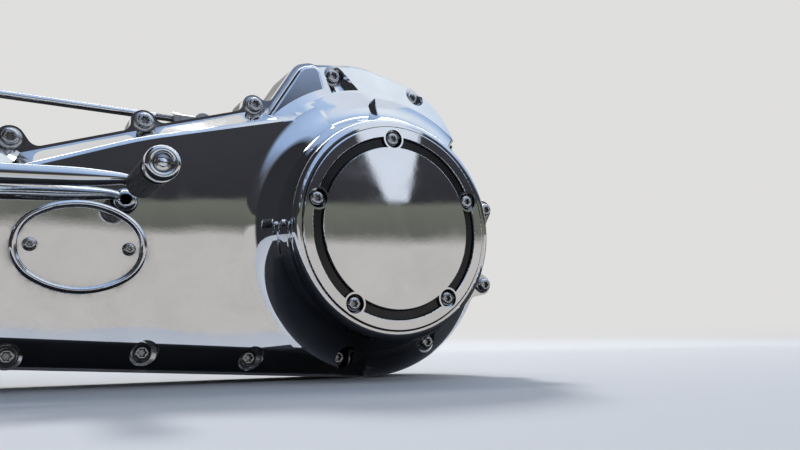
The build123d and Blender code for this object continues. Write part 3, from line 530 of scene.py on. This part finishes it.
def make_piece(name, bm, slot, body, replaced, sharp=35.0):
    """Turns a mesh into a piece that rides on a body and stands for some nodes."""
    bmesh.ops.recalc_face_normals(bm, faces=bm.faces)
    mesh = bpy.data.meshes.new(name)
    bm.to_mesh(mesh)
    bm.free()
    for polygon in mesh.polygons:
        polygon.use_smooth = True
    mesh.set_sharp_from_angle(angle=math.radians(sharp))
    mesh.materials.append(FINISHES[slot])
    obj = bpy.data.objects.new(name, mesh)
    bpy.context.scene.collection.objects.link(obj)
    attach(obj, body)
    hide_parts(*replaced)
    return obj


def centres(node):
    """X and Z of the middle of each solid of a node, in millimetres."""
    bm = bmesh.new()
    bm.from_mesh(node.data)
    bmesh.ops.remove_doubles(bm, verts=bm.verts, dist=0.00001)
    left = set(bm.verts)
    found = []
    while left:
        group = []
        front = [left.pop()]
        while front:
            vertex = front.pop()
            group.append(vertex.co.copy())
            for edge in vertex.link_edges:
                other = edge.other_vert(vertex)
                if other in left:
                    left.remove(other)
                    front.append(other)
        xs = [co.x for co in group]
        zs = [co.z for co in group]
        found.append((500 * (min(xs) + max(xs)), 500 * (min(zs) + max(zs))))
    bm.free()
    return sorted(found)


# Clutch dome
def form_height(x, z, form):
    """Height of a form with leaning walls at a place, or 0 where it has none."""
    foot, face, top = form
    turning = sum(a[0] * b[1] - a[1] * b[0] for a, b in zip(foot, foot[1:] + foot[:1]))
    side = math.copysign(1, turning)
    share = 1000.0
    for a, b, c, d in zip(foot, foot[1:] + foot[:1], face, face[1:] + face[:1]):
        inside = []
        for first, second in ((a, b), (c, d)):
            length = math.dist(first, second)
            across = (second[0] - first[0]) * (z - first[1]) - (second[1] - first[1]) * (x - first[0])
            inside.append(side * across / length)
        share = min(share, inside[0] / max(inside[0] - inside[1], 0.01))
    if share <= 0:
        return 0.0
    slope = FLANGE_FACE + (top - FLANGE_FACE) * share
    return min(slope, top) - max(FORM_ROUND - abs(slope - top), 0.0) ** 2 / (4 * FORM_ROUND)


def eased(turn, turns):
    """How far an angle in radians is from one angle in degrees to another, eased at both ends."""
    first, last = [math.radians(value) for value in turns]
    share = min(max((turn - first) / (last - first), 0.0), 1.0)
    return share * share * (3 - 2 * share)


def ground_height(radius, turn):
    """Height of what the dome stands on, at a place round the clutch's axis."""
    x = 1000 * CLUTCH_CENTRE[0] + radius * math.cos(turn)
    z = 1000 * CLUTCH_CENTRE[2] + radius * math.sin(turn)
    # the body's lower end and the crown's rear end sink into the flange
    body = form_height(x, z, BODY)
    body -= eased(turn, BODY_END_TURNS) * max(body - FLANGE_FACE, 0.0)
    # the crown starts level with the front face
    steeper = eased(turn, CROWN_SLOPE_TURNS)
    slope = CROWN_SLOPES[0] + (CROWN_SLOPES[1] - CROWN_SLOPES[0]) * steeper
    out = radius - CROWN_NEAR[0]
    cone = CROWN_NEAR[1] - (slope if out < 0 else CROWN_SLOPES[1]) * out
    crown = min(form_height(x, z, CROWN), cone)
    crown -= (1 - eased(turn, CROWN_END_TURNS)) * max(crown - FLANGE_FACE, 0.0)
    return max(FLANGE_FACE, body, form_height(x, z, PLATEAU), crown)


def wall_root(turn, lean):
    """Where the dome's wall, drawn on, meets what it stands on: radius and height."""
    near, far = DOME_NECK[0] + 1, DOME_FOOT[0]
    for _ in range(24):
        middle = (near + far) / 2
        if FLANGE_FACE + (DOME_FOOT[0] - middle) / lean > ground_height(middle, turn):
            near = middle
        else:
            far = middle
    return Vector((near, ground_height(near, turn)))


def dome_section(turn):
    """Closed section of the dome's wall at an angle: radii and heights, the outside first."""
    lean = (DOME_FOOT[0] - DOME_NECK[0]) / (DOME_NECK[1] - DOME_FOOT[1])
    root = wall_root(turn, lean)
    fall = ground_height(root.x + 1.5, turn) - ground_height(root.x + 0.5, turn)
    outward = Vector((1, min(max(fall, -0.6), 0.2))).normalized()
    upward = Vector((-lean, 1)).normalized()
    half = outward.angle(upward) / 2
    reach = min(FLARE_ROUND / math.tan(half), 0.97 * (DOME_EDGE - 0.5 - root.x))
    start, end = root + outward * reach, root + upward * reach
    middle = root + (outward + upward).normalized() * (reach / math.cos(half))
    # the edge, which sinks into the cover, and the ground up to the curve
    onto_crown = eased(turn, CROWN_ON_TURNS) * eased(turn, CROWN_OFF_TURNS)
    edge = DOME_EDGE + CROWN_OVERLAP * onto_crown
    sink = EDGE_SINK[1] if onto_crown > 0 else EDGE_SINK[0]
    section = [(edge, ground_height(edge, turn) - sink)]
    for step in range(EDGE_POINTS):
        radius = edge - 0.1 + (start.x - edge + 0.1) * step / EDGE_POINTS
        section.append((radius, ground_height(radius, turn) + DOME_LIFT))
    # the hollow curve and the wall
    for step in range(CURVE_POINTS):
        spoke = (start - middle).slerp(end - middle, step / (CURVE_POINTS - 1)) if step else start - middle
        point = middle + spoke.normalized() * (start - middle).length
        section.append((point.x, max(point.y, ground_height(point.x, turn) + DOME_LIFT)))
    for step in range(WALL_POINTS):
        section.append(tuple(end.lerp(Vector(DOME_NECK), (step + 1) / WALL_POINTS)))
    # the inside, and back to the edge
    section.append((DOME_NECK[0] - DOME_WALL, DOME_NECK[1] - 0.2))
    under = root + Vector((-DOME_WALL, -DOME_WALL))
    bottom = FLANGE_FACE - 3
    section.append((under.x, max(under.y, bottom)))
    for step in range(INSIDE_POINTS):
        radius = under.x + (DOME_EDGE - DOME_WALL - under.x) * (step + 1) / INSIDE_POINTS
        section.append((radius, max(ground_height(radius, turn) - DOME_WALL, bottom)))
    section.append((DOME_EDGE - DOME_WALL, bottom))
    section.append((DOME_EDGE, bottom))
    return section


def outside_at(sections, turn):
    """The outside of the section nearest to an angle."""
    section = sections[round(turn / math.tau * TURNS) % TURNS]
    return section[:1 + EDGE_POINTS + CURVE_POINTS + WALL_POINTS]


def dome_height(outside, radius):
    """Height of the dome's outside at a radius."""
    for (far, low), (near, high) in zip(outside, outside[1:]):
        if near <= radius <= far:
            return low + (high - low) * (far - radius) / max(far - near, 0.001)
    return outside[-1][1] if radius < outside[-1][0] else FLANGE_FACE


def round_clutch(radius, height, turn):
    """Place at a radius, a height outboard and an angle round the clutch's axis, in metres."""
    x = CLUTCH_CENTRE[0] + radius * math.cos(turn) / 1000
    return (x, -height / 1000, CLUTCH_CENTRE[2] + radius * math.sin(turn) / 1000)


def closed_sections(bm, sections):
    """Skins closed sections that follow each other round an axis."""
    rows = [[bm.verts.new(place) for place in section] for section in sections]
    for first, second in zip(rows, rows[1:] + rows[:1]):
        for step in range(len(first)):
            after = (step + 1) % len(first)
            bm.faces.new((first[step], first[after], second[after], second[step]))
    bmesh.ops.recalc_face_normals(bm, faces=bm.faces)


def loose_object(name, bm):
    mesh = bpy.data.meshes.new(name)
    bm.to_mesh(mesh)
    bm.free()
    obj = bpy.data.objects.new(name, mesh)
    bpy.context.scene.collection.objects.link(obj)
    return obj


def cut_mesh(obj, tools):
    """The mesh of an object less some tools. The object and the tools are deleted."""
    for tool in tools:
        cut = obj.modifiers.new(tool.name, "BOOLEAN")
        cut.operation = "DIFFERENCE"
        cut.solver = "EXACT"
        cut.object = tool
    depsgraph = bpy.context.evaluated_depsgraph_get()
    mesh = bpy.data.meshes.new_from_object(obj.evaluated_get(depsgraph))
    for used in (obj, *tools):
        bpy.data.objects.remove(used)
    return mesh


def pocket_cutter(x, z):
    """A drum that opens the dome's wall round a bolt, down to the flange."""
    bm = bmesh.new()
    low, high = FLANGE_FACE + 0.02, DOME_NECK[1]
    add_turned(bm, x, z, [(0, low, 0), (POCKET_RADIUS, low, 0), (POCKET_RADIUS, high, 0), (0, high, 0)], 72)
    bmesh.ops.recalc_face_normals(bm, faces=bm.faces)
    return loose_object("pocket", bm)


def pocket_liner(away, sections, steps=72):
    """The ring of wall round a bolt pocket, cut off where it meets the dome's outside."""
    bm = bmesh.new()
    rings = []
    for step in range(steps):
        turn = math.tau * step / steps
        ring = []
        for radius, at_top in (
            (POCKET_RADIUS, False), (POCKET_RADIUS, True),
            (POCKET_RADIUS + POCKET_WALL, True), (POCKET_RADIUS + POCKET_WALL, False),
        ):
            place = away + radius * Vector((math.cos(turn), math.sin(turn)))
            angle = math.atan2(place.y, place.x)
            wall = dome_height(outside_at(sections, angle % math.tau), place.length)
            height = max(wall - 0.1, FLANGE_FACE - 0.5) if at_top else FLANGE_FACE - 2
            ring.append(round_clutch(place.length, height, angle))
        rings.append(ring)
    closed_sections(bm, rings)
    return bm


def under_dome(radii, heights):
    """Whether all of a face lies where the dome's own wall stands."""
    beside = DOME_NECK[0] - 0.1 < min(radii) and max(radii) < DOME_EDGE + 0.1
    return beside and FLANGE_FACE - 0.5 < min(heights) and max(heights) < DOME_NECK[1] + 0.2


def cover_round_dome(cover, sections):
    """The cover's mesh, less the faces that the dome's own wall takes the place of."""
    bm = bmesh.new()
    bm.from_mesh(cover.data)
    bm.transform(cover.matrix_world)
    polar = {}
    for vertex in bm.verts:
        across = vertex.co.x - CLUTCH_CENTRE[0]
        upward = vertex.co.z - CLUTCH_CENTRE[2]
        turn = math.atan2(upward, across) % math.tau
        polar[vertex] = (1000 * math.hypot(across, upward), -1000 * vertex.co.y, turn)
    taken = []
    for face in bm.faces:
        places = [polar[vertex] for vertex in face.verts]
        if under_dome([place[0] for place in places], [place[1] for place in places]):
            taken.append(face)
    bmesh.ops.delete(bm, geom=taken, context="FACES")
    # what else reached through the wall sinks under it
    for vertex in bm.verts:
        if not vertex.link_faces:
            continue
        radius, height, turn = polar[vertex]
        outside = outside_at(sections, turn)
        if DOME_NECK[0] + 0.3 < radius < outside[0][0] - 0.1 and height < DOME_NECK[1]:
            wall = dome_height(outside, radius)
            if height > wall - 0.02:
                vertex.co.y = -(wall - 0.3) / 1000
    return bm


dome_sections = [dome_section(math.tau * step / TURNS) for step in range(TURNS)]
bm = bmesh.new()
closed_sections(bm, [
    [round_clutch(radius, height, math.tau * step / TURNS) for radius, height in section]
    for step, section in enumerate(dome_sections)
])
dome = loose_object("dome", bm)
cutters = []
liners = []
for x, z in centres(nodes["cover_bolts"]):
    away = Vector((x - 1000 * CLUTCH_CENTRE[0], z - 1000 * CLUTCH_CENTRE[2]))
    if abs(away.length - DOME_FOOT[0]) < 1:
        cutters.append(pocket_cutter(x, z))
        liners.append(pocket_liner(away, dome_sections))
dome_mesh = cut_mesh(dome, cutters)

bm = cover_round_dome(nodes["outer_cover"], dome_sections)
cover = loose_object("outer_cover_shell", bm)
cover.data.materials.append(FINISHES["cover_chrome"])
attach(cover, "case")
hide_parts("outer_cover")

bm = bmesh.new()
bm.from_mesh(dome_mesh)
for liner in liners:
    spare = bpy.data.meshes.new("liner")
    liner.to_mesh(spare)
    liner.free()
    bm.from_mesh(spare)
make_piece("flared_clutch_dome", bm, "cover_chrome", "case", ["outer_cover"], 30.0)

# Bolts and screws: name of the piece, its node and its profile
FASTENERS = (
    ("bolts_with_washers", "cover_bolts", COVER_BOLT),
    ("clutch_cover_button_screws", "clutch_cover_screws", CLUTCH_SCREW),
    ("oval_cover_button_screws", "inspection_screws", OVAL_SCREW),
)
for name, node, profile in FASTENERS:
    bm = bmesh.new()
    for x, z in centres(nodes[node]):
        add_turned(bm, x, z, profile)
    make_piece(name, bm, "bolt_steel", "case", [node])


# Pegs
def peg_rubber_profile():
    """Ribbed sleeve with a smooth neck behind the cap."""
    pitch = (PEG_RUBBER_LENGTH - PEG_NECK) / PEG_RIBS
    profile = [(PEG_CORE_RADIUS, 0.0, 0), (PEG_GROOVE_RADIUS, 0.0, 0)]
    for number in range(PEG_RIBS):
        low = number * pitch
        for share, radius in PEG_RIB:
            profile.append((radius, low + share * pitch, 0))
    neck = PEG_RUBBER_LENGTH - PEG_NECK
    profile.append((PEG_GROOVE_RADIUS, neck + 0.6, 0))
    profile.append((PEG_GROOVE_RADIUS + 0.3, neck + 1.2, 0))
    profile.append((PEG_GROOVE_RADIUS + 0.3, PEG_RUBBER_LENGTH - 0.3, 0))
    profile.append((PEG_GROOVE_RADIUS, PEG_RUBBER_LENGTH, 0))
    profile.append((PEG_CORE_RADIUS, PEG_RUBBER_LENGTH, 0))
    return profile


def moved_out(profile, face):
    """A turned profile, moved outboard to a face."""
    return [(radius, face + height, lobe) for radius, height, lobe in profile]


for side, (x, z, face) in (("heel", HEEL_PEG), ("toe", TOE_PEG)):
    bm = bmesh.new()
    add_turned(bm, x, z, moved_out(peg_rubber_profile(), face), 96)
    make_piece(f"{side}_peg_sleeve", bm, "peg_rubber", "gear_shift", [f"{side}_peg_rubber"], 50.0)
    bm = bmesh.new()
    add_turned(bm, x, z, moved_out(PEG_CAP, face), 96)
    make_piece(f"{side}_peg_cap", bm, "lever_chrome", "gear_shift", [f"{side}_peg_stud"], 45.0)


# Heel lever: an oval bar between a hub and an eye
def smooth_stations(line, steps=8, rounds=6):
    """Points along a line of (X, Z, half width), with its corners evened out."""
    stations = []
    for first, second in zip(line, line[1:]):
        for step in range(steps):
            share = step / steps
            stations.append(tuple(a + (b - a) * share for a, b in zip(first, second)))
    stations.append(line[-1])
    for _ in range(rounds):
        inner = [
            tuple((before[axis] + 2 * here[axis] + after[axis]) / 4 for axis in range(3))
            for before, here, after in zip(stations, stations[1:], stations[2:])
        ]
        stations = [stations[0], *inner, stations[-1]]
    return stations


def squared(value):
    """A sine or cosine that makes an oval a little squarer."""
    return math.copysign(abs(value) ** LEVER_OVAL, value)


def add_lever_bar(bm, stations, steps=32):
    """Adds a bar of oval section along a line of stations."""
    rings = []
    for index, (x, z, half) in enumerate(stations):
        before = stations[max(index - 1, 0)]
        after = stations[min(index + 1, len(stations) - 1)]
        along = Vector((after[0] - before[0], 0, after[1] - before[1])).normalized()
        across = Vector((-along.z, 0, along.x))
        ring = []
        for step in range(steps):
            turn = math.tau * step / steps
            wide = squared(math.cos(turn)) * half
            deep = squared(math.sin(turn)) * LEVER_THICK / 2
            place = Vector((x, -(LEVER_FACE - LEVER_THICK / 2), z)) + across * wide + Vector((0, -deep, 0))
            ring.append(bm.verts.new(place / 1000))
        rings.append(ring)
    ends = [bm.verts.new(sum((v.co for v in ring), Vector()) / steps) for ring in (rings[0], rings[-1])]
    join_rings(bm, [[ends[0]], *rings, [ends[1]]])


bm = bmesh.new()
add_lever_bar(bm, smooth_stations(HEEL_ARM))
add_turned(bm, *SHIFT_CENTRE, HEEL_HUB, 96)
add_turned(bm, HEEL_PEG[0], HEEL_PEG[1], HEEL_EYE, 72)
make_piece("heel_lever_bar", bm, "lever_chrome", "gear_shift", ["heel_lever"], 50.0)


# Shift rod with threads at both ends
def add_threaded_rod(bm, steps=32, per_pitch=4):
    """Adds the rod: four rings to each pitch of its threads, and few where it is plain."""
    rings = []
    for index in range(round((ROD_ENDS[1] - ROD_ENDS[0]) / (THREAD_PITCH / per_pitch)) + 1):
        x = ROD_ENDS[0] + index * THREAD_PITCH / per_pitch
        threaded = min(x - ROD_ENDS[0], ROD_ENDS[1] - x) < THREAD_LENGTH
        if not threaded and index % 20:
            continue
        crest = abs(2 * (index % per_pitch) / per_pitch - 1)
        radius = ROD_RADIUS - (THREAD_DEPTH * (1 - crest) if threaded else 0)
        ring = []
        for step in range(steps):
            turn = math.tau * step / steps
            place = (x, -ROD_LINE[1] + radius * math.sin(turn), ROD_LINE[0] + radius * math.cos(turn))
            ring.append(bm.verts.new([value / 1000 for value in place]))
        rings.append(ring)
    ends = [bm.verts.new([x / 1000, -ROD_LINE[1] / 1000, ROD_LINE[0] / 1000]) for x in ROD_ENDS]
    join_rings(bm, [[ends[0]], *rings, [ends[1]]])


bm = bmesh.new()
add_threaded_rod(bm)
make_piece("threaded_shift_rod", bm, "rod_chrome", "shift_linkage", ["shift_rod"], 50.0)

# Floor and backdrop in one sweep. The backdrop shines by itself, evenly, for camera and mirror rays
low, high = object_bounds()
floor_z = low[2] - 0.0005
profile = [(-FLOOR_REACH, 0.0), (FLOOR_ROW, 0.0), (SWEEP_START, 0.0)]
for step in range(1, 17):
    turn = math.radians(90 * step / 16)
    profile.append((SWEEP_START + SWEEP_RADIUS * math.sin(turn), SWEEP_RADIUS * (1 - math.cos(turn))))
profile.append((SWEEP_START + SWEEP_RADIUS, BACKDROP_TOP))
bm = bmesh.new()
rows = [[bm.verts.new((x, y, floor_z + z)) for y, z in profile] for x in (-FLOOR_REACH, FLOOR_REACH)]
for first, second, third, fourth in zip(rows[0], rows[0][1:], rows[1][1:], rows[1]):
    bm.faces.new((first, fourth, third, second))
floor = loose_object("floor", bm)
for polygon in floor.data.polygons:
    polygon.use_smooth = True
material, tree, shader = new_material("floor")
shader.inputs["Base Color"].default_value = (*PALE, 1)
shader.inputs["Roughness"].default_value = 0.8
source = tree.nodes.new("ShaderNodeNewGeometry")
split = tree.nodes.new("ShaderNodeSeparateXYZ")
tree.links.new(source.outputs["Position"], split.inputs["Vector"])
rise = spread(tree, split.outputs["Y"], *SHINE_FROM_TO, 0.0, 1.0)
rays = tree.nodes.new("ShaderNodeLightPath")
seen = added(tree, rays.outputs["Is Camera Ray"], rays.outputs["Is Glossy Ray"])
seen = added(tree, seen, rays.outputs["Is Transmission Ray"])
shine = tree.nodes.new("ShaderNodeEmission")
shine.inputs["Color"].default_value = (*PALE, 1)
mix = tree.nodes.new("ShaderNodeMixShader")
output = next(node for node in tree.nodes if node.type == "OUTPUT_MATERIAL")
tree.links.new(product(tree, rise, seen), mix.inputs["Fac"])
tree.links.new(shader.outputs["BSDF"], mix.inputs[1])
tree.links.new(shine.outputs["Emission"], mix.inputs[2])
tree.links.new(mix.outputs["Shader"], output.inputs["Surface"])
floor.data.materials.append(material)
floor.visible_shadow = False

# Dark sheets that only reflections show: painted reflections of shade
bm = bmesh.new()
for places in SHADE_SHEETS:
    bm.faces.new([bm.verts.new((x, y, floor_z + z)) for x, y, z in places])
shade_sheets = loose_object("shade_sheets", bm)
material, tree, shader = new_material("shade_sheet_black")
shader.inputs["Base Color"].default_value = (0.012, 0.012, 0.014, 1)
shader.inputs["Roughness"].default_value = 0.9
shade_sheets.data.materials.append(material)
for ray in ("camera", "diffuse", "transmission", "volume_scatter", "shadow"):
    setattr(shade_sheets, f"visible_{ray}", False)

# World: the light round the part. Pale ground, a narrow grey-green rim and slate above it, a bright
# patch of sky up to the right, and a dark screen to the left
world = bpy.data.worlds.new("world")
bpy.context.scene.world = world
world.use_nodes = True
tree = world.node_tree
background = next(node for node in tree.nodes if node.type == "BACKGROUND")
source = tree.nodes.new("ShaderNodeTexCoord")
direction = source.outputs["Generated"]
split = tree.nodes.new("ShaderNodeSeparateXYZ")
tree.links.new(direction, split.inputs["Vector"])
height = spread(tree, split.outputs["Z"], -1.0, 1.0, 0.0, 1.0)
low_down = ramp(tree, height, SURROUNDINGS)
toward = tree.nodes.new("ShaderNodeVectorMath")
toward.operation = "DOT_PRODUCT"
toward.inputs[1].default_value = Vector(SKY_PATCH).normalized()
tree.links.new(direction, toward.inputs[0])
sky = ramp(tree, toward.outputs["Value"], SKY)
patch = spread(tree, toward.outputs["Value"], *SKY_RIM, 0.0, 1.0)
above = spread(tree, split.outputs["Z"], *SKY_LOW, 0.0, 1.0)
with_sky = blended(tree, product(tree, patch, above), low_down, sky)
# the strip of sky
lean = tree.nodes.new("ShaderNodeMath")
lean.operation = "MULTIPLY_ADD"
lean.inputs[1].default_value = STRIP_LEAN
tree.links.new(split.outputs["Z"], lean.inputs[0])
tree.links.new(split.outputs["X"], lean.inputs[2])
beyond = spread(tree, lean.outputs["Value"], *STRIP_LEANING_SIDE, 0.0, 1.0)
within = spread(tree, split.outputs["X"], *STRIP_UPRIGHT_SIDE, 1.0, 0.0)
raised = spread(tree, split.outputs["Z"], *STRIP_LOW, 0.0, 1.0)
front = spread(tree, split.outputs["Y"], *STRIP_FRONT, 1.0, 0.0)
strip = product(tree, product(tree, product(tree, beyond, within), raised), front)
with_strip = blended(tree, strip, with_sky, STRIP_COLOUR)
screen = spread(tree, split.outputs["X"], *SCREEN_SIDE, 0.0, 1.0)
tree.links.new(blended(tree, screen, with_strip, SCREEN_COLOUR), background.inputs["Color"])
background.inputs["Strength"].default_value = 1.0

# Lamps: a soft sun from behind and above, and a wide box over the backdrop
sun = bpy.data.lights.new("sun", "SUN")
sun.energy = 1.5
sun.angle = math.radians(10)
lamp = bpy.data.objects.new("sun", sun)
lamp.rotation_euler = Vector(SUN_FROM).to_track_quat("Z", "Y").to_euler()
bpy.context.scene.collection.objects.link(lamp)
box = bpy.data.lights.new("box", "AREA")
box.shape = "RECTANGLE"
box.size = 3.0
box.size_y = 0.5
box.energy = 25
lamp = bpy.data.objects.new("box", box)
lamp.location = (0.9, 0.7, 1.9)
lamp.rotation_euler = (math.radians(40), 0, 0)
bpy.context.scene.collection.objects.link(lamp)

# Camera
lens = bpy.data.cameras.new("camera")
lens.lens = CAMERA_LENS
lens.sensor_width = CAMERA_SENSOR
lens.clip_start = 0.01
camera = bpy.data.objects.new("camera", lens)
camera.location = CAMERA_PLACE
camera.rotation_euler = [math.radians(value) for value in CAMERA_TURN]
bpy.context.scene.collection.objects.link(camera)
bpy.context.scene.camera = camera
bpy.context.scene.view_settings.view_transform = "Standard"
